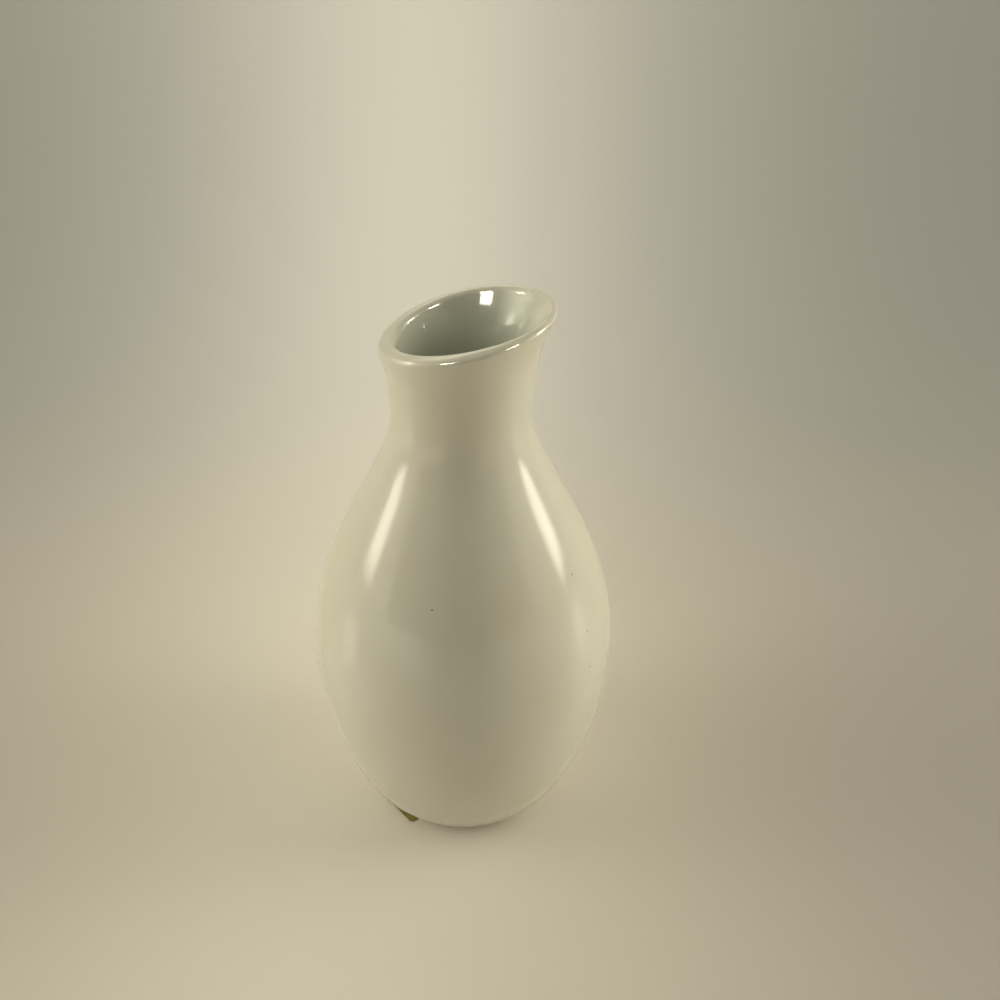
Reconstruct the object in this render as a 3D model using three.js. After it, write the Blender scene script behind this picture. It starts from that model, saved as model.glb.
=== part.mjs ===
// Glazed bud vase: a slip-cast porcelain pear with a waisted neck and a flared mouth that is cut on a slant.
// Millimetres, +Z up. The vase turns about Z, its mouth rises towards +X, and z = 0 is what it stands on.
import * as THREE from "three";

// Rings of the glazed outside, from the foot up
const FOOT_RADIUS = 17;
const FOOT_STEP = 0.5; // the bare foot ring stands this far below the glazed heel
const BELLY_RADIUS = 34.2;
const BELLY_RISE = 44.9; // from the heel to the widest ring
const NECK_RADIUS = 14.35;
const NECK_RISE = 58.8; // from the widest ring to the narrowest
const MOUTH_RISE = 17.8; // from the narrowest ring to the middle of the rim
const MOUTH_SLANT = THREE.MathUtils.degToRad(13.9); // of the rim against the level
const MOUTH_BOW = 0.26; // by which the rim rises at its two sides and dips at its high and low ends
const FLARE_RADIUS = 19.9; // of the outline's upper end, which the slanted cut removes
const FLARE_LEAN = THREE.MathUtils.degToRad(26.4); // of the outline's upper end, from upright

// How far each curve keeps the direction of the ring that it leaves, as a share of the way to the next ring
const HEEL_FULLNESS = 0.53;
const BELLY_FULLNESS = 0.455;
const NECK_FULLNESS_BELOW = 0.22;
const NECK_FULLNESS_ABOVE = 0.345;
const FLARE_FULLNESS = 0.4;

// Walls, lip, floor and foot
const WALL = 3.4; // clay with the glaze on both sides
const LIP_WALL = 3.7; // the same at the low end of the rim, where the lip is rolled full
const TIP_WALL = 2.1; // and at its high end, where the wall is worked thin
const GLAZE = 0.4;
const LIP_RISE = 0.81; // height of the soft lip at its low end, as a share of half its width
const TIP_RISE = 0.61; // the same at its high end
const LIP_POWER = 2.25; // of the lip's section: 2 is an ellipse, and more is fuller at its edges
const FLOOR_THICKNESS = 3.5; // from the recess to the inside of the floor, with its glaze
const FLOOR_FULLNESS = 0.75;
const DISH_START = 0.4; // where on the heel curve the inner wall starts to round off into the floor
const FOOT_WIDTH = 3.6; // of the flat ring that the vase stands on
const RECESS_DEPTH = 1.5;
const RECESS_DRAFT = 0.8; // by which the recess is narrower at its top

// Label of foil-faced paper under the foot
const LABEL_LENGTH = 18;
const LABEL_WIDTH = 11;
const LABEL_CORNER = 1;
const LABEL_THICKNESS = 0.15;
const LABEL_OVERHANG = 4.95; // past the edge of the foot
const LABEL_AZIMUTH = THREE.MathUtils.degToRad(-138); // of its free end

// Finishes
const clayFinish = { color: 0xe6dfcf, roughness: 0.8, metalness: 0 };
const glazeFinish = { color: 0xe9e6da, roughness: 0.1, metalness: 0 };
const labelFinish = { color: 0xbcaf73, roughness: 0.35, metalness: 0.5 };

// Facets
const AROUND = 40;
const HEEL_STEPS = 8;
const SHOULDER_STEPS = 9;
const THROAT_STEPS = 5;
const LIP_STEPS = 6;
const FLOOR_STEPS = 5;
const CORNER_STEPS = 4;
const RIM_HALVINGS = 40;

const bellyHeight = FOOT_STEP + BELLY_RISE;
const neckHeight = bellyHeight + NECK_RISE;
const mouthHeight = neckHeight + MOUTH_RISE;
const flareHeight = mouthHeight + Math.tan(MOUTH_SLANT) * FLARE_RADIUS + WALL / 2;
const floorHeight = RECESS_DEPTH + FLOOR_THICKNESS;
const recessRadius = FOOT_RADIUS - FOOT_WIDTH;

const at = (radius, height) => new THREE.Vector2(radius, height);

// The outline as three curves of radius and height: foot to belly, belly to neck, neck to flare.
const heelCurve = new THREE.CubicBezierCurve(
  at(FOOT_RADIUS, FOOT_STEP),
  at(FOOT_RADIUS + HEEL_FULLNESS * (BELLY_RADIUS - FOOT_RADIUS), FOOT_STEP),
  at(BELLY_RADIUS, bellyHeight - BELLY_FULLNESS * BELLY_RISE),
  at(BELLY_RADIUS, bellyHeight),
);
const shoulderCurve = new THREE.CubicBezierCurve(
  at(BELLY_RADIUS, bellyHeight),
  at(BELLY_RADIUS, bellyHeight + BELLY_FULLNESS * NECK_RISE),
  at(NECK_RADIUS, neckHeight - NECK_FULLNESS_BELOW * NECK_RISE),
  at(NECK_RADIUS, neckHeight),
);
const flareRise = flareHeight - neckHeight;
const flareReach = FLARE_FULLNESS * flareRise;
const throatCurve = new THREE.CubicBezierCurve(
  at(NECK_RADIUS, neckHeight),
  at(NECK_RADIUS, neckHeight + NECK_FULLNESS_ABOVE * flareRise),
  at(FLARE_RADIUS - flareReach * Math.sin(FLARE_LEAN), flareHeight - flareReach * Math.cos(FLARE_LEAN)),
  at(FLARE_RADIUS, flareHeight),
);

// A point of a curve, moved square to the outline into the wall.
function wallPoint(curve, share, depth) {
  const tangent = curve.getTangent(share);
  return curve.getPoint(share).add(at(-tangent.y * depth, tangent.x * depth));
}

// The wall from one share of a curve to another, as points at equal steps. The start is left out.
function wallRun(curve, from, to, steps, depthAt) {
  return Array.from({ length: steps }, (_, i) => {
    const share = THREE.MathUtils.lerp(from, to, (i + 1) / steps);
    return wallPoint(curve, share, depthAt(share));
  });
}

// A value that changes smoothly round the mouth, from its low end to its high end.
function roundMouth(angle, atLowEnd, atHighEnd) {
  return THREE.MathUtils.lerp(atLowEnd, atHighEnd, (1 + Math.cos(angle)) / 2);
}

// Thickness of the wall at the rim.
function rimWall(angle) {
  return roundMouth(angle, LIP_WALL, TIP_WALL);
}

// Where on the throat curve the middle of the wall meets the slanted and bowed plane of the mouth, by halving.
function rimShare(angle) {
  const rise = Math.tan(MOUTH_SLANT) * Math.cos(angle);
  const bow = MOUTH_BOW * Math.cos(2 * angle);
  let low = 0;
  let high = 1;
  for (let i = 0; i < RIM_HALVINGS; i += 1) {
    const middle = (low + high) / 2;
    const point = wallPoint(throatCurve, middle, rimWall(angle) / 2);
    if (point.y < mouthHeight + rise * point.x - bow) low = middle;
    else high = middle;
  }
  return low;
}

// The soft lip as half a superellipse, from the outer wall over the crest to the inner wall, without both ends.
function lipRun(angle, share, inset) {
  const width = rimWall(angle);
  const rise = roundMouth(angle, LIP_RISE, TIP_RISE);
  const middle = wallPoint(throatCurve, share, width / 2);
  const along = throatCurve.getTangent(share);
  const inward = at(-along.y, along.x);
  const half = width / 2 - inset;
  const fuller = (value) => half * Math.sign(value) * Math.abs(value) ** (2 / LIP_POWER);
  return Array.from({ length: LIP_STEPS - 1 }, (_, i) => {
    const turn = (Math.PI * (i + 1)) / LIP_STEPS;
    return middle
      .clone()
      .addScaledVector(inward, -fuller(Math.cos(turn)))
      .addScaledVector(along, rise * fuller(Math.sin(turn)));
  });
}

// The dish of the floor, from the foot of the inner wall to the axis. The start is left out.
function floorRun(depth) {
  const edge = wallPoint(heelCurve, DISH_START, depth);
  const centre = at(0, floorHeight + depth - WALL);
  const down = heelCurve.getTangent(DISH_START).multiplyScalar(-FLOOR_FULLNESS * (edge.y - centre.y));
  const dish = new THREE.CubicBezierCurve(
    edge,
    edge.clone().add(down),
    at(FLOOR_FULLNESS * edge.x, centre.y),
    centre,
  );
  return Array.from({ length: FLOOR_STEPS }, (_, i) => dish.getPoint((i + 1) / FLOOR_STEPS));
}

// One skin of the vase at an angle: from the heel up the outside, over the lip, down the inside to the axis.
// An inset of 0 is the surface of the glaze, and an inset of GLAZE is the clay under it.
function skin(angle, inset) {
  const rim = rimShare(angle);
  const lip = rimWall(angle);
  const outer = () => inset;
  const inner = () => WALL - inset;
  const innerThroat = (share) => THREE.MathUtils.lerp(WALL, lip, (share / rim) ** 2) - inset;
  return [
    wallPoint(heelCurve, 0, inset),
    ...wallRun(heelCurve, 0, 1, HEEL_STEPS, outer),
    ...wallRun(shoulderCurve, 0, 1, SHOULDER_STEPS, outer),
    ...wallRun(throatCurve, 0, rim, THROAT_STEPS, outer),
    ...lipRun(angle, rim, inset),
    wallPoint(throatCurve, rim, lip - inset),
    ...wallRun(throatCurve, rim, 0, THROAT_STEPS, innerThroat),
    ...wallRun(shoulderCurve, 1, 0, SHOULDER_STEPS, inner),
    ...wallRun(heelCurve, 1, DISH_START, Math.ceil(HEEL_STEPS * (1 - DISH_START)), inner),
    ...floorRun(WALL - inset),
  ];
}

// Radius of the recess wall at a height above the foot.
function recessWall(height) {
  return recessRadius - (RECESS_DRAFT * height) / RECESS_DEPTH;
}

const recessEdge = [
  at(recessWall(RECESS_DEPTH - GLAZE), RECESS_DEPTH - GLAZE),
  at(recessWall(RECESS_DEPTH), RECESS_DEPTH),
];

// Each section runs from the axis to the axis with the outside on its left.
function claySection(angle) {
  return [
    ...skin(angle, GLAZE).reverse(),
    at(FOOT_RADIUS, 0),
    at(recessRadius, 0),
    ...recessEdge,
    at(0, RECESS_DEPTH),
  ];
}

function glazeSection(angle) {
  return [...skin(angle, 0).reverse(), ...skin(angle, GLAZE)];
}

function recessGlazeSection() {
  return [at(0, RECESS_DEPTH), ...recessEdge.toReversed(), at(0, RECESS_DEPTH - GLAZE)];
}

// A closed solid from one section at each angle. The first and last points of a section lie on the axis, and
// each four-sided facet is split from its upper corner, so that two solids that share a skin split it alike.
function revolve(sectionAt) {
  const angles = Array.from({ length: AROUND }, (_, i) => (2 * Math.PI * i) / AROUND);
  const sections = angles.map(sectionAt);
  const last = sections[0].length - 1;
  const corner = (turn, row) => {
    const { x: radius, y: height } = sections[turn % AROUND][row];
    const angle = angles[turn % AROUND];
    return [radius * Math.cos(angle), radius * Math.sin(angle), height];
  };
  const triangles = [];
  for (let turn = 0; turn < AROUND; turn += 1) {
    for (let row = 0; row < last; row += 1) {
      const here = corner(turn, row);
      const next = corner(turn, row + 1);
      const beside = corner(turn + 1, row);
      const across = corner(turn + 1, row + 1);
      if (row === 0) triangles.push(here, next, across);
      else if (row === last - 1) triangles.push(here, next, beside);
      else if (sections[turn][row].y > sections[turn][row + 1].y) {
        triangles.push(here, next, across, here, across, beside);
      } else triangles.push(here, next, beside, next, across, beside);
    }
  }
  const geometry = new THREE.BufferGeometry();
  geometry.setAttribute("position", new THREE.Float32BufferAttribute(triangles.flat(), 3));
  geometry.computeVertexNormals();
  return geometry;
}

// The label's outline: a rectangle with round corners, its free end towards +X.
function labelShape() {
  const end = FOOT_RADIUS + LABEL_OVERHANG;
  const start = end - LABEL_LENGTH;
  const side = LABEL_WIDTH / 2;
  const quarter = Math.PI / 2;
  const shape = new THREE.Shape();
  shape.moveTo(start + LABEL_CORNER, -side);
  shape.lineTo(end - LABEL_CORNER, -side);
  shape.absarc(end - LABEL_CORNER, LABEL_CORNER - side, LABEL_CORNER, -quarter, 0);
  shape.lineTo(end, side - LABEL_CORNER);
  shape.absarc(end - LABEL_CORNER, side - LABEL_CORNER, LABEL_CORNER, 0, quarter);
  shape.lineTo(start + LABEL_CORNER, side);
  shape.absarc(start + LABEL_CORNER, side - LABEL_CORNER, LABEL_CORNER, quarter, 2 * quarter);
  shape.lineTo(start, LABEL_CORNER - side);
  shape.absarc(start + LABEL_CORNER, LABEL_CORNER - side, LABEL_CORNER, 2 * quarter, 3 * quarter);
  return shape;
}

function labelGeometry() {
  return new THREE.ExtrudeGeometry(labelShape(), {
    depth: LABEL_THICKNESS,
    bevelEnabled: false,
    curveSegments: CORNER_STEPS,
  });
}

function piece(name, geometry, finish) {
  const mesh = new THREE.Mesh(geometry, new THREE.MeshStandardMaterial(finish));
  mesh.name = name;
  return mesh;
}

const ceramic = new THREE.Group();
ceramic.add(
  piece("porcelain_body", revolve(claySection), clayFinish),
  piece("glaze_coat", revolve(glazeSection), glazeFinish),
  piece("recess_glaze", revolve(recessGlazeSection), glazeFinish),
);
ceramic.position.z = LABEL_THICKNESS;

const label = piece("base_label", labelGeometry(), labelFinish);
label.rotation.z = LABEL_AZIMUTH;

const vase = new THREE.Group();
vase.add(ceramic, label);

export default vase;
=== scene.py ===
import math

import bpy
import numpy as np
from mathutils import Matrix, Vector


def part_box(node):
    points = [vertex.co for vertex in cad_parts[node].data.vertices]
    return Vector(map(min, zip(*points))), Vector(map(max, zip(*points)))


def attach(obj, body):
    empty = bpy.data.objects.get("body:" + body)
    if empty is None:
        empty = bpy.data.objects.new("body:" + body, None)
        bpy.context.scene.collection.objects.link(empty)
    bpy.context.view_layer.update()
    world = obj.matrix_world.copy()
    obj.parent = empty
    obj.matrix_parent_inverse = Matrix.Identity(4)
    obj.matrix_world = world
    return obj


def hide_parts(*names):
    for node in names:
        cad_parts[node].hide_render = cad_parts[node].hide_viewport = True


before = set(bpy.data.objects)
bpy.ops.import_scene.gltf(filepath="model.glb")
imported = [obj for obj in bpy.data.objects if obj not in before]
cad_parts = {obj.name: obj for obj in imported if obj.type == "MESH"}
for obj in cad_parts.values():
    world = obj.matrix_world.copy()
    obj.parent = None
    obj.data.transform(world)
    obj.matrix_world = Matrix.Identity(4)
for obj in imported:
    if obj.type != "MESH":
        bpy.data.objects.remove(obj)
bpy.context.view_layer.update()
print("frame loaded with", len(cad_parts), "nodes")

scene = bpy.context.scene
scene.view_settings.view_transform = "Standard"
mm = 0.001
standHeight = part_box("porcelain_body")[0].z  # the foot stands on the label


# Mesh and node helpers

def closedShell(name, grid, marks=None):
    # rings joined row to row and round the ring, with the first and last ring drawn into one point each
    rings, columns = grid.shape[:2]
    points = np.concatenate([grid[:1, 0], grid[1:-1].reshape(-1, 3), grid[-1:, 0]])
    ring = 1 + np.arange((rings - 2) * columns).reshape(rings - 2, columns)
    beside = np.roll(ring, -1, axis=1)
    quads = np.stack([ring[:-1], beside[:-1], beside[1:], ring[1:]], axis=-1).reshape(-1, 4)
    firstFan = np.stack([np.zeros(columns, int), beside[0], ring[0]], axis=-1)
    lastFan = np.stack([np.full(columns, len(points) - 1), ring[-1], beside[-1]], axis=-1)
    halves = np.concatenate([quads[:, [0, 1, 2]], quads[:, [0, 2, 3]], firstFan, lastFan])
    a, b, c = (points[halves[:, k]] for k in range(3))
    volume = np.einsum("ij,ij->", a, np.cross(b, c)) / 6
    turn = 1 if volume > 0 else -1  # faces look outwards
    faces = quads[:, ::turn].tolist() + firstFan[:, ::turn].tolist() + lastFan[:, ::turn].tolist()
    mesh = bpy.data.meshes.new(name)
    mesh.from_pydata(points.tolist(), [], faces)
    mesh.polygons.foreach_set("use_smooth", np.ones(len(faces), bool))
    for mark, values in (marks or {}).items():
        spread = np.broadcast_to(values, (rings, columns))
        flat = np.concatenate([spread[:1, 0], spread[1:-1].ravel(), spread[-1:, 0]])
        mesh.attributes.new(mark, "FLOAT", "POINT").data.foreach_set("value", flat.astype(np.float32))
    mesh.update()
    piece = bpy.data.objects.new(name, mesh)
    scene.collection.objects.link(piece)
    print(name, "has", len(faces), "faces and", round(abs(volume) * 1e6, 3), "cubic centimetres")
    return piece


def settle(piece, node, material):
    # a finished piece takes its node's place and its material
    piece.data.materials.append(material)
    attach(piece, "root")
    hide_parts(node)


class Wire:
    # one output of a node: arithmetic on wires adds Math nodes to the same tree
    def __init__(self, tree, socket=None):
        self.tree = tree
        self.socket = socket

    def add(self, kind, settings=None, sockets=None, out=0):
        # any node: first its settings, then the values or links of its sockets, and one output comes back
        node = self.tree.nodes.new("ShaderNode" + kind)
        for key, value in (settings or {}).items():
            setattr(node, key, value)
        for key, value in (sockets or {}).items():
            if isinstance(value, Wire):
                self.tree.links.new(value.socket, node.inputs[key])
            else:
                node.inputs[key].default_value = value
        return Wire(self.tree, node.outputs[out] if node.outputs else None)

    def calc(self, operation, first, second):
        return self.add("Math", {"operation": operation}, {0: first, 1: second})

    def __add__(self, other):
        return self.calc("ADD", self, other)

    __radd__ = __add__

    def __sub__(self, other):
        return self.calc("SUBTRACT", self, other)

    def __rsub__(self, other):
        return self.calc("SUBTRACT", other, self)

    def __mul__(self, other):
        return self.calc("MULTIPLY", self, other)

    __rmul__ = __mul__

    def between(self, low, high):
        # 0 below low, 1 above high, and a smooth step from one to the other
        return self.add("MapRange", {"interpolation_type": "SMOOTHSTEP"},
                        {"Value": self, "From Min": low, "From Max": high})

    def larger(self, other):
        return self.calc("MAXIMUM", self, other)

    def parts(self):
        # the three numbers of a vector
        node = self.add("SeparateXYZ", None, {0: self}).socket.node
        return [Wire(self.tree, socket) for socket in node.outputs]

    def tint(self, plain, full):
        # a colour from plain to full, by this wire as the factor
        return self.add("Mix", {"data_type": "RGBA"}, {0: self, 6: plain, 7: full}, out=2)


def newFinish(name):
    material = bpy.data.materials.new(name)
    material.use_nodes = True
    material.node_tree.nodes.clear()
    return material, Wire(material.node_tree)


def surfaceOf(tree, **sockets):
    # a Principled shader with these sockets, as the material's surface
    named = {key.replace("_", " "): value for key, value in sockets.items()}
    shader = tree.add("BsdfPrincipled", None, named)
    tree.add("OutputMaterial", None, {"Surface": shader})


def noiseOn(place, settings):
    # a noise texture on these coordinates
    return place.add("TexNoise", None, {"Vector": place, **settings})


def bumpOf(height, depth):
    # the normal of a surface that rises and falls by this depth
    return height.add("Bump", None, {"Strength": 1.0, "Distance": depth, "Height": height})


def solid(colour):
    return (*colour, 1.0)


# Form of the vase

vaseForm = {
    "footRadius": 17.0 * mm,
    "footStep": 0.5 * mm,  # the bare ring below the glazed heel
    "bellyRadius": 34.2 * mm,
    "bellyRise": 44.9 * mm,
    "neckRadius": 14.35 * mm,
    "neckRise": 58.8 * mm,
    "mouthRise": 17.8 * mm,
    "mouthSlant": math.radians(13.9),
    "mouthBow": 0.26 * mm,  # the rim rises at its sides and dips at its high and low ends
    "flareRadius": 19.9 * mm,
    "flareLean": math.radians(26.4),
    "heelFullness": 0.53,
    "bellyFullness": 0.455,
    "neckFullnessBelow": 0.22,
    "neckFullnessAbove": 0.345,
    "flareFullness": 0.4,
    "wall": 3.4 * mm,
    "lipWall": 3.7 * mm,  # at the low end of the rim
    "tipWall": 2.1 * mm,  # at its high end
    "lipRise": 0.81,  # height of the lip at its low end, as a share of half its width
    "tipRise": 0.61,
    "lipPower": 2.25,
    "lipRoll": 0.3 * mm,  # how far the lip's inner rounding reaches down the throat at its low end
    "tipRoll": 4.5 * mm,
    "rollPower": 5,  # of the change from one to the other
    "glaze": 0.4 * mm,
    "floorThickness": 3.5 * mm,
    "floorFullness": 0.75,
    "dishStart": 0.4,
    "footWidth": 3.6 * mm,
    "recessDepth": 1.5 * mm,
    "recessDraft": 0.8 * mm,
    "footRounding": 0.35 * mm,
    "columns": 208,
    "heelRows": 30,
    "shoulderRows": 34,
    "throatRows": 20,
    "lipRows": 18,
    "floorRows": 14,
    "edgeRows": 7,
    "ceilingStart": 0.9,  # where the flat of the recess starts, as a share of its radius
    "ceilingRows": 6,
    "halvings": 40,  # in the search for the rim
    "lengthSteps": 60,
    "outlineSteps": 200,
}
wall = vaseForm["wall"]
glaze = vaseForm["glaze"]
footRadius = vaseForm["footRadius"]
recessDepth = vaseForm["recessDepth"]
recessRadius = footRadius - vaseForm["footWidth"]
bellyHeight = vaseForm["footStep"] + vaseForm["bellyRise"]
neckHeight = bellyHeight + vaseForm["neckRise"]
mouthHeight = neckHeight + vaseForm["mouthRise"]
slope = math.tan(vaseForm["mouthSlant"])
flareHeight = mouthHeight + slope * vaseForm["flareRadius"] + wall / 2
flareRise = flareHeight - neckHeight
flareReach = vaseForm["flareFullness"] * flareRise
angles = np.linspace(0, 2 * np.pi, vaseForm["columns"], endpoint=False)
highEnd = (1 + np.cos(angles)) / 2  # 0 at the low end of the mouth and 1 at its high end
rimWall = vaseForm["lipWall"] + (vaseForm["tipWall"] - vaseForm["lipWall"]) * highEnd
lipRise = vaseForm["lipRise"] + (vaseForm["tipRise"] - vaseForm["lipRise"]) * highEnd
lipRoll = vaseForm["lipRoll"] + (vaseForm["tipRoll"] - vaseForm["lipRoll"]) * highEnd ** vaseForm["rollPower"]

# control points of radius and height: foot to belly, belly to neck, neck to flare
heelCurve = np.array([
    (footRadius, vaseForm["footStep"]),
    (footRadius + vaseForm["heelFullness"] * (vaseForm["bellyRadius"] - footRadius), vaseForm["footStep"]),
    (vaseForm["bellyRadius"], bellyHeight - vaseForm["bellyFullness"] * vaseForm["bellyRise"]),
    (vaseForm["bellyRadius"], bellyHeight),
])
shoulderCurve = np.array([
    (vaseForm["bellyRadius"], bellyHeight),
    (vaseForm["bellyRadius"], bellyHeight + vaseForm["bellyFullness"] * vaseForm["neckRise"]),
    (vaseForm["neckRadius"], neckHeight - vaseForm["neckFullnessBelow"] * vaseForm["neckRise"]),
    (vaseForm["neckRadius"], neckHeight),
])
throatCurve = np.array([
    (vaseForm["neckRadius"], neckHeight),
    (vaseForm["neckRadius"], neckHeight + vaseForm["neckFullnessAbove"] * flareRise),
    (vaseForm["flareRadius"] - flareReach * math.sin(vaseForm["flareLean"]),
     flareHeight - flareReach * math.cos(vaseForm["flareLean"])),
    (vaseForm["flareRadius"], flareHeight),
])


def along(curve, share):
    # cubic curve: its four points weighted by the Bernstein polynomials of the share
    t = np.asarray(share)[..., None]
    a, b, c, d = curve
    return a * (1 - t) ** 3 + 3 * b * t * (1 - t) ** 2 + 3 * c * t ** 2 * (1 - t) + d * t ** 3


def heading(curve, share):
    # unit tangent: the derivative of the cubic over its own length
    t = np.asarray(share)[..., None]
    a, b, c, d = curve
    way = (b - a) * (1 - t) ** 2 + 2 * (c - b) * t * (1 - t) + (d - c) * t ** 2
    return way / np.linalg.norm(way, axis=-1, keepdims=True)


def inward(curve, share):
    # the tangent turned a quarter towards the axis
    way = heading(curve, share)
    return np.stack([-way[..., 1], way[..., 0]], axis=-1)


def wallAt(curve, share, depth):
    # the outline moved square to itself into the wall
    return along(curve, share) + np.asarray(depth)[..., None] * inward(curve, share)


def rimShares():
    # at each angle, the share of the throat where the middle of the wall meets the slanted and
    # bowed mouth, found by halving
    low = np.zeros_like(angles)
    high = np.ones_like(angles)
    bow = vaseForm["mouthBow"] * np.cos(2 * angles)
    for _ in range(vaseForm["halvings"]):
        middle = (low + high) / 2
        point = wallAt(throatCurve, middle, rimWall / 2)
        below = point[:, 1] < mouthHeight + slope * np.cos(angles) * point[:, 0] - bow
        low = np.where(below, middle, low)
        high = np.where(below, high, middle)
    return low


rim = rimShares()
throatPoints = along(throatCurve, np.linspace(0, 1, vaseForm["lengthSteps"]))
throatLength = np.linalg.norm(np.diff(throatPoints, axis=0), axis=1).sum()


def fuller(swing):
    # a sine or cosine raised to a power below 1: the lip's section is fuller at its edges than
    # an ellipse
    return np.sign(swing) * np.abs(swing) ** (2 / vaseForm["lipPower"])


def skin(depth, start):
    # radius and height from the heel up the outside, over the soft lip, down the inside and over
    # the floor to the axis, with how far inside each row lies: 0 outside, 1 where the throat starts
    # and 2 at the neck
    def steps(count):
        return np.linspace(0, 1, count, endpoint=False)[:, None]

    level = np.ones_like(angles)
    inner = wall - depth
    up = [
        wallAt(heelCurve, start + (1 - start) * steps(vaseForm["heelRows"]), depth),
        wallAt(shoulderCurve, steps(vaseForm["shoulderRows"]) * level, depth),
        wallAt(throatCurve, steps(vaseForm["throatRows"]) * rim, depth),
    ]
    turn = np.pi * steps(vaseForm["lipRows"])
    half = rimWall / 2 - depth
    over = fuller(np.cos(turn))
    crest = lipRise * half
    arch = fuller(np.sin(turn))
    height = np.where(over > 0, crest * arch, (crest + lipRoll) * arch - lipRoll)
    lip = wallAt(throatCurve, rim + np.minimum(height, 0) / throatLength, rimWall / 2 - over * half)
    lip = lip + np.maximum(height, 0)[..., None] * heading(throatCurve, rim)
    back = 1 - steps(vaseForm["throatRows"])
    thinning = wall + (rimWall - wall) * back ** 2 - depth
    throatEnd = rim - lipRoll / throatLength
    dishStart = vaseForm["dishStart"]
    down = [
        wallAt(throatCurve, back * throatEnd, thinning),
        wallAt(shoulderCurve, (1 - steps(vaseForm["shoulderRows"])) * level, inner),
        wallAt(heelCurve, (1 - (1 - dishStart) * steps(vaseForm["heelRows"] // 2)) * level, inner),
    ]
    edge = wallAt(heelCurve, dishStart, inner)
    floorMiddle = np.array([0, recessDepth + vaseForm["floorThickness"] + inner - wall])
    fall = vaseForm["floorFullness"] * (edge[1] - floorMiddle[1])
    dish = np.array([
        edge,
        edge - fall * heading(heelCurve, dishStart),
        (vaseForm["floorFullness"] * edge[0], floorMiddle[1]),
        floorMiddle,
    ])
    floorShare = np.linspace(0, 1, vaseForm["floorRows"])[:, None]
    rows = np.concatenate([*up, lip, *down, along(dish, floorShare * level)])
    outside = np.zeros(sum(len(part) for part in up))
    throat = 2 - back[:, 0]
    below = np.full(len(rows) - len(outside) - len(lip) - len(throat), 2)
    return rows, np.concatenate([outside, steps(len(lip))[:, 0], throat, below])


def carried(rows):
    # each point of radius and height turned to its column's angle about the axis
    radius = rows[..., 0]
    return np.stack([
        radius * np.cos(angles),
        radius * np.sin(angles),
        np.broadcast_to(rows[..., 1] + standHeight, radius.shape),
    ], axis=-1)


def roundedCorner(corner, before, after, radius, count):
    # an arc that touches both straight sides of a corner
    toBefore = (before - corner) / np.linalg.norm(before - corner)
    toAfter = (after - corner) / np.linalg.norm(after - corner)
    half = math.acos(float(toBefore @ toAfter)) / 2
    middle = toBefore + toAfter
    centre = corner + middle / np.linalg.norm(middle) * radius / math.sin(half)
    first = corner + toBefore * radius / math.tan(half) - centre
    last = corner + toAfter * radius / math.tan(half) - centre
    share = np.linspace(0, 1, count)[:, None]
    mixed = (1 - share) * first + share * last
    return centre + radius * mixed / np.linalg.norm(mixed, axis=1, keepdims=True)


# Clay body: the fired clay under the glaze, with its bare foot ring and recess

def clayRows():
    # the skin below the glaze, then round the foot ring's two edges and into the recess to the axis
    rows, _ = skin(glaze, np.zeros_like(angles))
    rounding = vaseForm["footRounding"]
    shoulder = np.array([footRadius, vaseForm["footStep"] + glaze])
    outer = np.array([footRadius, 0])
    inner = np.array([recessRadius, 0])
    ceiling = np.array([recessRadius - vaseForm["recessDraft"], recessDepth])
    axis = np.array([0, recessDepth])
    under = np.concatenate([
        roundedCorner(outer, shoulder, inner, rounding, vaseForm["edgeRows"]),
        roundedCorner(inner, outer, ceiling, rounding, vaseForm["edgeRows"]),
        roundedCorner(ceiling, inner, axis, rounding, vaseForm["edgeRows"]),
        np.linspace(ceiling * (vaseForm["ceilingStart"], 1), axis, vaseForm["ceilingRows"]),
    ])
    spread = np.broadcast_to(under[:, None], (len(under), len(angles), 2))
    return np.concatenate([rows[::-1], spread])


# Glaze: one coat from the wiped line at the foot, up, over the lip and down to the floor inside

glazeForm = {
    "lineShare": 0.0085,  # where on the heel the coat starts
    "lineWander": 0.0045,  # how far the wiped line wanders
    "runs": 0.03 * mm,  # how far the coat runs thicker and thinner
    "calm": 5 * mm,  # the runs die away nearer the axis than this
    "waves": [(2, 61, 0.3), (3, -97, 1.9), (5, 143, 4.1), (7, -211, 2.6)],  # round, up and start
    "waveSum": 2.4,
}


def wander(turns, lift):
    # slow waves round the vase and up its wall, between about -1 and 1
    total = sum(np.sin(k * turns + m * lift + p) for k, m, p in glazeForm["waves"])
    return total / glazeForm["waveSum"]


def glazeRows():
    # the outer skin with its runs, a half-round bead at the wiped line, and the skin on the clay
    line = glazeForm["lineShare"] + glazeForm["lineWander"] * wander(angles, 0)
    coat, inside = skin(0, line)
    under, _ = skin(glaze, line)
    coat = coat.copy()
    steady = coat[..., 0] / (coat[..., 0] + glazeForm["calm"])
    coat[..., 0] += glazeForm["runs"] * steady * wander(angles, coat[..., 1])
    middle = wallAt(heelCurve, line, glaze / 2)
    turn = (np.pi * np.linspace(0, 1, vaseForm["edgeRows"] + 2)[1:-1])[:, None, None]
    swing = -np.sin(turn) * heading(heelCurve, line) - np.cos(turn) * inward(heelCurve, line)
    bead = middle + glaze / 2 * swing
    marks = np.concatenate([inside[::-1], np.zeros(len(bead) + len(under))])
    return np.concatenate([coat[::-1], bead, under]), marks[:, None]


# Island of glaze in the recess, drawn up to its wall in a soft ring

recessForm = {
    "ringRise": 0.22 * mm,
    "ringPower": 9,
    "rows": 16,
    "pooledAndShadedEdge": (0.6, 0.95),  # where its colour deepens to the pooled glaze colour, which is darkened as painted shade, as shares of the radius
}


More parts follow.
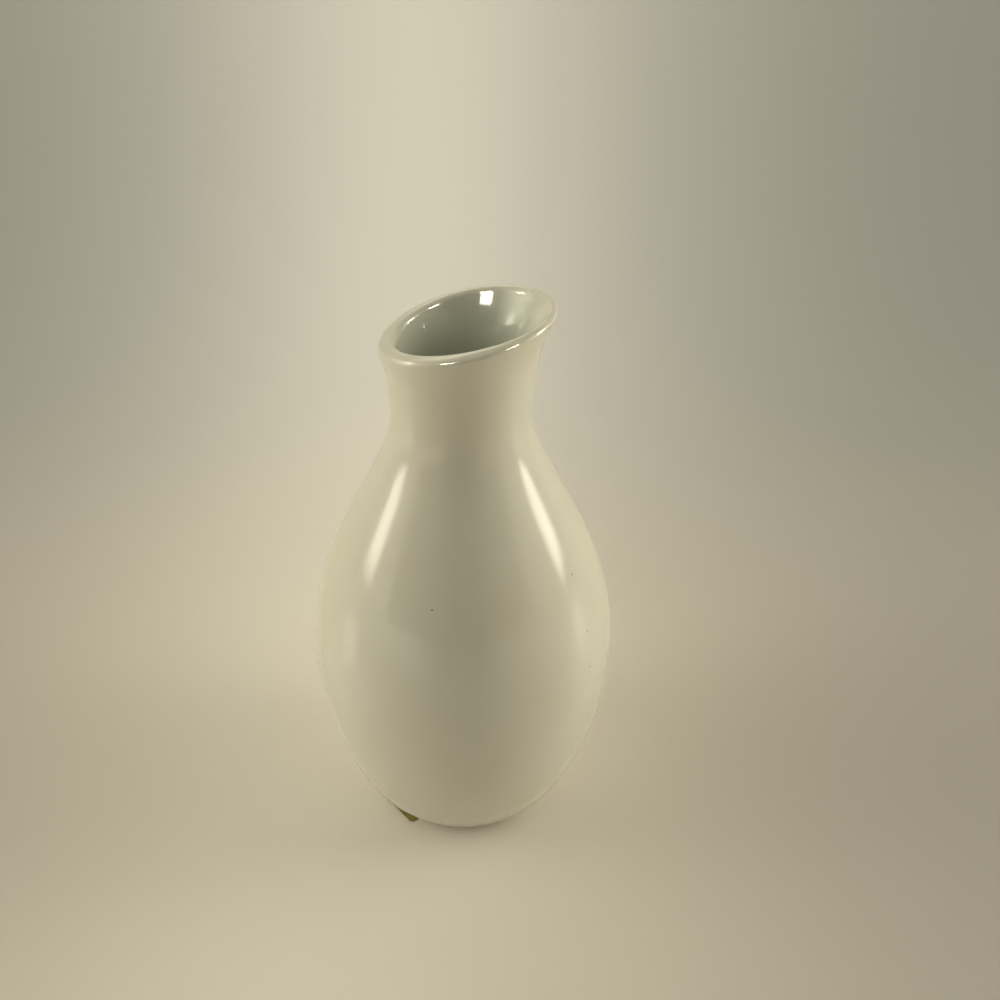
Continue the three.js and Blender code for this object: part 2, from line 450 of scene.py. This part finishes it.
def recessRows():
    # a flat top, and an underside that dips with a high power of the radius
    top = recessRadius - vaseForm["recessDraft"]
    edge = recessRadius - vaseForm["recessDraft"] * (1 - glaze / recessDepth)
    share = np.linspace(0, 1, recessForm["rows"])
    upper = np.stack([share * top, np.full_like(share, recessDepth)], axis=-1)
    dip = recessDepth - glaze - recessForm["ringRise"] * share ** recessForm["ringPower"]
    lower = np.stack([share * edge, dip], axis=-1)[::-1]
    rows = np.concatenate([upper, lower])
    return np.broadcast_to(rows[:, None], (len(rows), len(angles), 2))


# Label under the foot

labelForm = {
    "length": 18.0 * mm,
    "width": 11.0 * mm,
    "corner": 1.0 * mm,
    "overhang": 4.95 * mm,  # past the edge of the foot
    "turn": math.radians(-138),
    "lift": 0.3 * mm,  # of the free end
    "rows": 72,
    "halfColumns": 28,
}


def labelGrid():
    # a thin strip carried along the label: its half width follows the round corners, and its free
    # end bends up
    length = labelForm["length"]
    corner = labelForm["corner"]
    thickness = standHeight
    reach = np.cos(np.linspace(np.pi, 0, labelForm["rows"])) * length / 2
    past = np.maximum(np.abs(reach) - (length / 2 - corner), 0)
    half = labelForm["width"] / 2 - corner + np.sqrt(np.maximum(corner ** 2 - past ** 2, 0))
    across = np.sin(np.linspace(-np.pi / 2, np.pi / 2, labelForm["halfColumns"]))
    ring = np.concatenate([across, across[::-1]])
    upper = np.concatenate([np.ones_like(across), np.zeros_like(across)])
    end = footRadius + labelForm["overhang"]
    out = end - length / 2 + reach
    free = np.maximum(out - footRadius, 0) / labelForm["overhang"]
    bend = labelForm["lift"] * free ** 2
    x = np.broadcast_to(out[:, None], (len(out), len(ring)))
    y = half[:, None] * ring
    z = bend[:, None] + thickness * upper
    grid = np.stack([x, y, z], axis=-1)
    first = np.broadcast_to(grid[:1].mean(axis=1, keepdims=True), grid[:1].shape)
    last = np.broadcast_to(grid[-1:].mean(axis=1, keepdims=True), grid[-1:].shape)
    grid = np.concatenate([first, grid, last])
    cosine = math.cos(labelForm["turn"])
    sine = math.sin(labelForm["turn"])
    return np.stack([
        grid[..., 0] * cosine - grid[..., 1] * sine,
        grid[..., 0] * sine + grid[..., 1] * cosine,
        grid[..., 2],
    ], axis=-1)


# Finishes

glazeLook = {
    "white": (0.81, 0.79, 0.70),
    "warm": (0.80, 0.765, 0.655),  # where the coat is thin
    "pooledAndShaded": (0.60, 0.62, 0.545),  # deeper and greener where the coat pools, and darkened as painted shade inside the throat
    "speck": (0.12, 0.085, 0.05),
    "roughness": 0.07,
    "smearRoughness": 0.05,
    "ior": 1.52,
    "peel": 0.012 * mm,
    "finePeel": 0.12,  # share of the finer peel
    "cloud": {"Scale": 45, "Detail": 2},
    "cloudEdge": (0.35, 0.75),
    "fine": {"Scale": 900, "Detail": 3},
    "smear": {"Scale": 110, "Detail": 4},
    "smearEdge": (0.45, 0.8),
    "ripple": {"Scale": 260, "Detail": 1},
    "pooledAndShadedEdge": (0.5, 1.4),  # where the painted shade inside begins and is full: over the lip and down the throat
    # specks of iron by turn about the axis and height above the foot
    "specks": [(-100.5, 73.8), (-33, 60.9), (-34.5, 52.4), (-32, 73.6), (-68, 14.8), (-56, 17.3)],
    "speckRadius": 0.28 * mm,
    "speckCore": 0.3,
    "speckDepth": 0.8,
}


def radiusAt(height):
    # the outline's radius at a height above the foot
    share = np.linspace(0, 1, vaseForm["outlineSteps"])
    points = np.concatenate([along(heelCurve, share), along(shoulderCurve, share)])
    return float(np.interp(height, points[:, 1], points[:, 0]))


def glossGlaze(name, pooledAndShadedBy):
    # white glass, warmer in clouds and deeper where it pools, that deeper colour darkened as painted shade,
    # with iron specks and a soft peel
    material, tree = newFinish(name)
    place = tree.add("TexCoord", out="Object")
    clouded = noiseOn(place, glazeLook["cloud"]).between(*glazeLook["cloudEdge"])
    colour = clouded.tint(solid(glazeLook["white"]), solid(glazeLook["warm"]))
    # painted shade: the pooled colour is darkened to stand for the shade down the throat
    colour = pooledAndShadedBy(place).tint(colour, solid(glazeLook["pooledAndShaded"]))
    specks = None
    for turn, height in glazeLook["specks"]:
        radius = radiusAt(height * mm)
        angle = math.radians(turn)
        spot = (radius * math.cos(angle), radius * math.sin(angle), height * mm + standHeight)
        distance = tree.add("VectorMath", {"operation": "DISTANCE"}, {0: place, 1: spot}, out="Value")
        core = glazeLook["speckCore"] * glazeLook["speckRadius"]
        dot = 1 - distance.between(core, glazeLook["speckRadius"])
        specks = dot if specks is None else specks.larger(dot)
    colour = (specks * glazeLook["speckDepth"]).tint(colour, solid(glazeLook["speck"]))
    smear = noiseOn(place, glazeLook["smear"]).between(*glazeLook["smearEdge"])
    roughness = glazeLook["roughness"] + glazeLook["smearRoughness"] * smear
    peel = noiseOn(place, glazeLook["ripple"]) + glazeLook["finePeel"] * noiseOn(place, glazeLook["fine"])
    normal = bumpOf(peel, glazeLook["peel"])
    surfaceOf(tree, Base_Color=colour, Roughness=roughness, IOR=glazeLook["ior"], Normal=normal)
    return material


def shadedInside(place):
    # painted shade down the throat, by the coat's own mark of how far inside it lies
    inside = place.add("Attribute", {"attribute_name": "inside"}, out="Fac")
    return inside.between(*glazeLook["pooledAndShadedEdge"])


def pooledAndShadedAtRing(place):
    # pooled glaze at the recess wall, in the colour darkened as painted shade, by the distance from the axis
    flat = place.add("VectorMath", {"operation": "MULTIPLY"}, {0: place, 1: (1, 1, 0)})
    fromAxis = place.add("VectorMath", {"operation": "LENGTH"}, {0: flat}, out="Value")
    low, high = recessForm["pooledAndShadedEdge"]
    return fromAxis.between(low * recessRadius, high * recessRadius)


clayLook = {
    "bare": (0.79, 0.74, 0.63),
    "grey": (0.60, 0.55, 0.46),
    "worn": (0.34, 0.30, 0.25),
    "grainDepth": 0.05 * mm,
    "grain": {"Scale": 5200, "Detail": 4, "Roughness": 0.7},
    "greyEdge": (0.3, 0.8),
    "patch": {"Scale": 190, "Detail": 5},
    "patchBump": 0.6,
    "wornEdge": (0.48, 0.66),
    "contactEdge": (0.02 * mm, 0.3 * mm),  # heights above the table where the ring wears
    "roughness": 0.86,
    "polish": 0.14,
}


def bareClay():
    # grainy clay, worn grey in patches where the ring touches the table
    material, tree = newFinish("bareClay")
    place = tree.add("TexCoord", out="Object")
    grain = noiseOn(place, clayLook["grain"])
    patch = noiseOn(place, clayLook["patch"])
    height = tree.add("SeparateXYZ", None, {0: place}, out="Z")
    low, high = clayLook["contactEdge"]
    contact = 1 - height.between(standHeight + low, standHeight + high)
    colour = grain.between(*clayLook["greyEdge"]).tint(solid(clayLook["bare"]), solid(clayLook["grey"]))
    colour = (contact * patch.between(*clayLook["wornEdge"])).tint(colour, solid(clayLook["worn"]))
    normal = bumpOf(grain + clayLook["patchBump"] * patch, clayLook["grainDepth"])
    roughness = clayLook["roughness"] - clayLook["polish"] * contact
    surfaceOf(tree, Base_Color=colour, Roughness=roughness, Normal=normal)
    return material


labelLook = {
    "foil": (0.46, 0.395, 0.135),
    "dull": (0.35, 0.305, 0.12),
    "paper": (0.62, 0.57, 0.44),
    "crease": 0.04 * mm,
    "fibre": {"Scale": 2600, "Detail": 4},
    "fibreBump": 0.2,
    "patch": {"Scale": 420, "Detail": 3},
    "dullEdge": (0.35, 0.7),
    "scuffEdge": (0.34, 0.46),
    "scuffShare": 0.6,
    "metal": 0.5,
    "roughness": 0.34,
    "scuffRoughness": 0.3,
}


def foilPaper():
    # dull gold foil, scuffed through to the paper where the fibres stand up
    material, tree = newFinish("foilPaper")
    place = tree.add("TexCoord", out="Object")
    fibre = noiseOn(place, labelLook["fibre"])
    patch = noiseOn(place, labelLook["patch"])
    scuff = (fibre * patch).between(*labelLook["scuffEdge"])
    colour = patch.between(*labelLook["dullEdge"]).tint(solid(labelLook["foil"]), solid(labelLook["dull"]))
    colour = (scuff * labelLook["scuffShare"]).tint(colour, solid(labelLook["paper"]))
    normal = bumpOf(patch + labelLook["fibreBump"] * fibre, labelLook["crease"])
    roughness = labelLook["roughness"] + labelLook["scuffRoughness"] * scuff
    metal = labelLook["metal"] - labelLook["metal"] * scuff
    surfaceOf(tree, Base_Color=colour, Metallic=metal, Roughness=roughness, Normal=normal)
    return material


# Pieces

rows, insideMarks = glazeRows()
glazeCoat = closedShell("glazeCoat", carried(rows), {"inside": insideMarks})
settle(glazeCoat, "glaze_coat", glossGlaze("glossGlaze", shadedInside))
settle(closedShell("clayBody", carried(clayRows())), "porcelain_body", bareClay())
settle(closedShell("recessGlaze", carried(recessRows())), "recess_glaze",
       glossGlaze("recessGloss", pooledAndShadedAtRing))
settle(closedShell("foilLabel", labelGrid()), "base_label", foilPaper())


# Stage: a pale floor that sweeps up behind, lamps at the sides and overhead, and the walls of a tent

stageForm = {
    "halfWidth": 1.6,
    "front": -2.2,
    "back": 0.13,
    "sweepRadius": 0.16,
    "sweepRows": 24,
    "top": 0.9,
    "tooth": {"Scale": 700, "Detail": 2},
    "toothDepth": 0.01 * mm,
    "colour": (0.87, 0.825, 0.76),
    "sheen": 0.16,  # roughness of the floor, as the glaze mirrors it
    "matte": 0.8,  # roughness that the camera sees
    "matteEdge": (0.0, 0.09),  # the paper behind is matte all round
    "glow": 0.9,  # of the floor in front, as the glaze mirrors it: full at the left
    "glowRight": 0.7,  # and less at the right
    "glowEdge": (-0.08, -0.3),
    "glowNear": (math.radians(14), math.radians(34)),
    "glowFar": (math.radians(52), math.radians(72)),
    "poolMiddle": -0.03,  # where across the paper the light is fullest
    "poolWidth": 0.105,
    "shade": (0.27, 0.255, 0.235),  # of the paper far out at both sides
    "backEdge": (0.02, 0.26),  # where the paper behind takes its own light
    "backShare": 0.8,
    "backLit": (0.67, 0.63, 0.49),
    # the backdrop's glow at both sides, darker as painted shade
    "backShadedSide": (0.215, 0.206, 0.168),
    "farEdge": (0.35, 0.9),  # from here out the floor takes the colour of the wall
    "frontEdge": (-0.1, -0.42),  # and sooner in front
}


lightForm = {
    "warm": (1.0, 0.955, 0.76),
    # of each lamp: azimuth from the camera's side, elevation, distance, width, height, brightness,
    # soft share and lean
    "lamps": {
        "leftStrip": (-84, 6.5, 0.56, 0.20, 0.22, 6.1, 0.36, 0),
        "rightStrip": (93.8, 5.5, 0.56, 0.21, 0.24, 7.3, 0.36, 17),
        "leftPanel": (-93, 22, 0.6, 0.7, 0.5, 2.75, 0.4, 0),
        "rightPanel": (100, 26, 0.6, 0.7, 0.5, 3.2, 0.4, 0),
        "frontLeftBar": (-35, 27, 0.5, 0.15, 0.06, 2.4, 0.1, 0),
        "frontRightBar": (44, 27, 0.5, 0.15, 0.06, 2.4, 0.1, 0),
        "topBack": (180, 50, 0.36, 0.5, 0.3, 0.5, 0.4, 0),
    },
    "sparks": {  # bare lamps, which show only as highlights in the glaze
        "leftSpark": (-35, 30, 0.5, 0.16, 0.14, 40, 0.1, 0),
        "rightSpark": (50, 31, 0.5, 0.15, 0.15, 40, 0.1, 0),
        "leftSideSpark": (-94, 30, 0.5, 0.12, 0.05, 20, 0.1, 0),
        "rightSideSpark": (98, 26, 0.5, 0.14, 0.11, 40, 0.1, 0),
        "backCard": (-143, 55, 0.36, 0.3, 0.25, 2.6, 0.4, 0),
    },
    "aim": Vector((0, 0, 0.08)),
    "leftWall": 0.81,
    "rightWall": 0.64,
    "top": 0.31,
    "openingSide": (math.radians(57), math.radians(59.5)),
    "wallTop": (0.55, 0.85),
    "sideEdge": (-0.01, 0.01),  # from the left side to the right
    "pale": (0.60, 0.545, 0.42),
}


def sweepGrid():
    # a profile of floor, quarter circle and upright wall, carried straight from side to side
    turn = np.linspace(0, np.pi / 2, stageForm["sweepRows"])
    radius = stageForm["sweepRadius"]
    curve = np.stack([stageForm["back"] + radius * np.sin(turn), radius - radius * np.cos(turn)], axis=-1)
    profile = np.concatenate([
        [(stageForm["front"], 0)], curve, [(stageForm["back"] + radius, stageForm["top"])],
    ])
    sides = np.array([-stageForm["halfWidth"], stageForm["halfWidth"]])
    x = np.broadcast_to(sides[None, :], (len(profile), 2))
    y = np.broadcast_to(profile[:, :1], x.shape)
    z = np.broadcast_to(profile[:, 1:], x.shape)
    return np.stack([x, y, z], axis=-1)


def paleSweep():
    # pale paper in a pool of light, with its own glow behind and far out for what the camera and
    # the glaze show of it
    material, tree = newFinish("paleSweep")
    place = tree.add("TexCoord", out="Object")
    normal = bumpOf(noiseOn(place, stageForm["tooth"]), stageForm["toothDepth"])
    x, y, _ = place.parts()
    out = (x - stageForm["poolMiddle"]) * (1 / stageForm["poolWidth"])
    pool = tree.calc("DIVIDE", 1, out * out + 1)
    seen = tree.add("LightPath", out="Is Camera Ray")
    mirrored = tree.add("LightPath", out="Is Glossy Ray")
    shown = seen.larger(mirrored)
    matte = seen.larger(y.between(*stageForm["matteEdge"]))
    roughness = stageForm["sheen"] + (stageForm["matte"] - stageForm["sheen"]) * matte
    front = y.between(*stageForm["frontEdge"])
    shaded = mirrored.larger(seen * (1 - front))
    colour = ((1 - pool) * shaded).tint(solid(stageForm["colour"]), solid(stageForm["shade"]))
    paper = tree.add("BsdfPrincipled", None, {"Base Color": colour, "Roughness": roughness, "Normal": normal})
    glow = tree.add("Emission", None, {"Color": solid(lightForm["warm"]), "Strength": stageForm["glow"]})
    turn = tree.add("Math", {"operation": "ABSOLUTE"}, {0: tree.calc("ARCTAN2", x, y * -1)})
    ahead = turn.between(*stageForm["glowNear"]) * (1 - turn.between(*stageForm["glowFar"]))
    side = 1 - (1 - stageForm["glowRight"]) * x.between(*lightForm["sideEdge"])
    ahead = ahead * y.between(*stageForm["glowEdge"]) * side
    floor = tree.add("MixShader", None, {0: mirrored * ahead, 1: paper, 2: glow})
    # painted light behind: the glow is full in the pool and darker at both sides as painted shade
    lit = pool.tint(solid(stageForm["backShadedSide"]), solid(stageForm["backLit"]))
    backGlow = tree.add("Emission", None, {"Color": lit, "Strength": 1.0})
    behind = shown * y.between(*stageForm["backEdge"]) * stageForm["backShare"]
    sweep = tree.add("MixShader", None, {0: behind, 1: floor, 2: backGlow})
    fromVase = tree.add("VectorMath", {"operation": "LENGTH"}, {0: place}, out="Value")
    farGlow = tree.add("Emission", None, {"Color": solid(lightForm["pale"]), "Strength": 1.0})
    far = seen * (1 - (1 - fromVase.between(*stageForm["farEdge"])) * (1 - front))
    mixed = tree.add("MixShader", None, {0: far, 1: sweep, 2: farGlow})
    tree.add("OutputMaterial", None, {"Surface": mixed})
    return material


sweepPoints = sweepGrid()
count = len(sweepPoints)
step = np.arange(count - 1)[:, None] * 2
sweepMesh = bpy.data.meshes.new("sweep")
sweepMesh.from_pydata(sweepPoints.reshape(-1, 3).tolist(), [], (step + np.array([[0, 1, 3, 2]])).tolist())
sweepMesh.polygons.foreach_set("use_smooth", np.ones(count - 1, bool))
sweepMesh.materials.append(paleSweep())
sweep = bpy.data.objects.new("sweep", sweepMesh)
scene.collection.objects.link(sweep)


def softFace(light, soft):
    # brightness over a lamp's face: full in the middle, with a smooth step down to nothing at its
    # four edges
    light.use_nodes = True
    light.node_tree.nodes.clear()
    tree = Wire(light.node_tree)
    fade = None
    for place in tree.add("NewGeometry", out="Parametric").parts()[:2]:
        edges = place.between(0, soft) * (1 - place.between(1 - soft, 1))
        fade = edges if fade is None else fade * edges
    glow = tree.add("Emission", None, {"Color": solid((1, 1, 1)), "Strength": fade})
    tree.add("OutputLight", None, {"Surface": glow})


def hangLamp(name, azimuth, elevation, distance, width, height, brightness, soft, lean):
    # a rectangle that faces the vase, with its power from its brightness times pi times its area
    light = bpy.data.lights.new(name, "AREA")
    light.shape = "RECTANGLE"
    light.size = width
    light.size_y = height
    light.color = lightForm["warm"]
    light.energy = brightness * math.pi * width * height
    softFace(light, soft)
    lamp = bpy.data.objects.new(name, light)
    side = math.radians(azimuth)
    up = math.radians(elevation)
    away = Vector((math.sin(side) * math.cos(up), -math.cos(side) * math.cos(up), math.sin(up)))
    turned = away.to_track_quat("Z", "Y").to_matrix().to_4x4() @ Matrix.Rotation(math.radians(lean), 4, "Z")
    lamp.matrix_world = Matrix.Translation(lightForm["aim"] + away * distance) @ turned
    lamp.visible_camera = False
    scene.collection.objects.link(lamp)
    return lamp


for lampName, lampValues in lightForm["lamps"].items():
    hangLamp(lampName, *lampValues)
sparkle = bpy.data.collections.new("sparkle")  # what the bare lamps reach
sparkle.objects.link(glazeCoat)
for lampName, lampValues in lightForm["sparks"].items():
    lamp = hangLamp(lampName, *lampValues)
    lamp.visible_diffuse = False
    lamp.light_linking.receiver_collection = sparkle
print("stage set with", len(lightForm["lamps"]), "lamps and", len(lightForm["sparks"]), "bare lamps")


def lightTent():
    # light walls at both sides, with a dark opening on the camera's side and a dim top; the camera
    # sees a pale wall
    world = bpy.data.worlds.new("lightTent")
    world.use_nodes = True
    world.node_tree.nodes.clear()
    scene.world = world
    tree = Wire(world.node_tree)
    x, y, z = tree.add("TexCoord", out="Generated").parts()
    turn = tree.add("Math", {"operation": "ABSOLUTE"}, {0: tree.calc("ARCTAN2", x, y * -1)})
    top = z.between(*lightForm["wallTop"])
    change = lightForm["rightWall"] - lightForm["leftWall"]
    sideWall = lightForm["leftWall"] + change * x.between(*lightForm["sideEdge"])
    level = sideWall * turn.between(*lightForm["openingSide"]) * (1 - top) + lightForm["top"] * top
    tent = tree.add("Background", None, {"Color": solid(lightForm["warm"]), "Strength": level})
    pale = tree.add("Background", None, {"Color": solid(lightForm["pale"]), "Strength": 1.0})
    seen = tree.add("LightPath", out="Is Camera Ray")
    mixed = tree.add("MixShader", None, {0: seen, 1: tent, 2: pale})
    tree.add("OutputWorld", None, {"Surface": mixed})


lightTent()

# Camera at the photograph's place

cameraForm = {
    "place": Vector((8.09, -178.39, 200.42)) * mm,
    "pitch": math.radians(56.497),
    "roll": math.radians(0.729),
    "lens": 36.0,
    "sensor": 36.0,
    "nearest": 0.01,
}
cameraData = bpy.data.cameras.new("camera")
cameraData.lens = cameraForm["lens"]
cameraData.sensor_width = cameraForm["sensor"]
cameraData.clip_start = cameraForm["nearest"]
camera = bpy.data.objects.new("camera", cameraData)
camera.matrix_world = (
    Matrix.Translation(cameraForm["place"])
    @ Matrix.Rotation(cameraForm["pitch"], 4, "X")
    @ Matrix.Rotation(cameraForm["roll"], 4, "Z")
)
scene.collection.objects.link(camera)
scene.camera = camera
print("camera set")
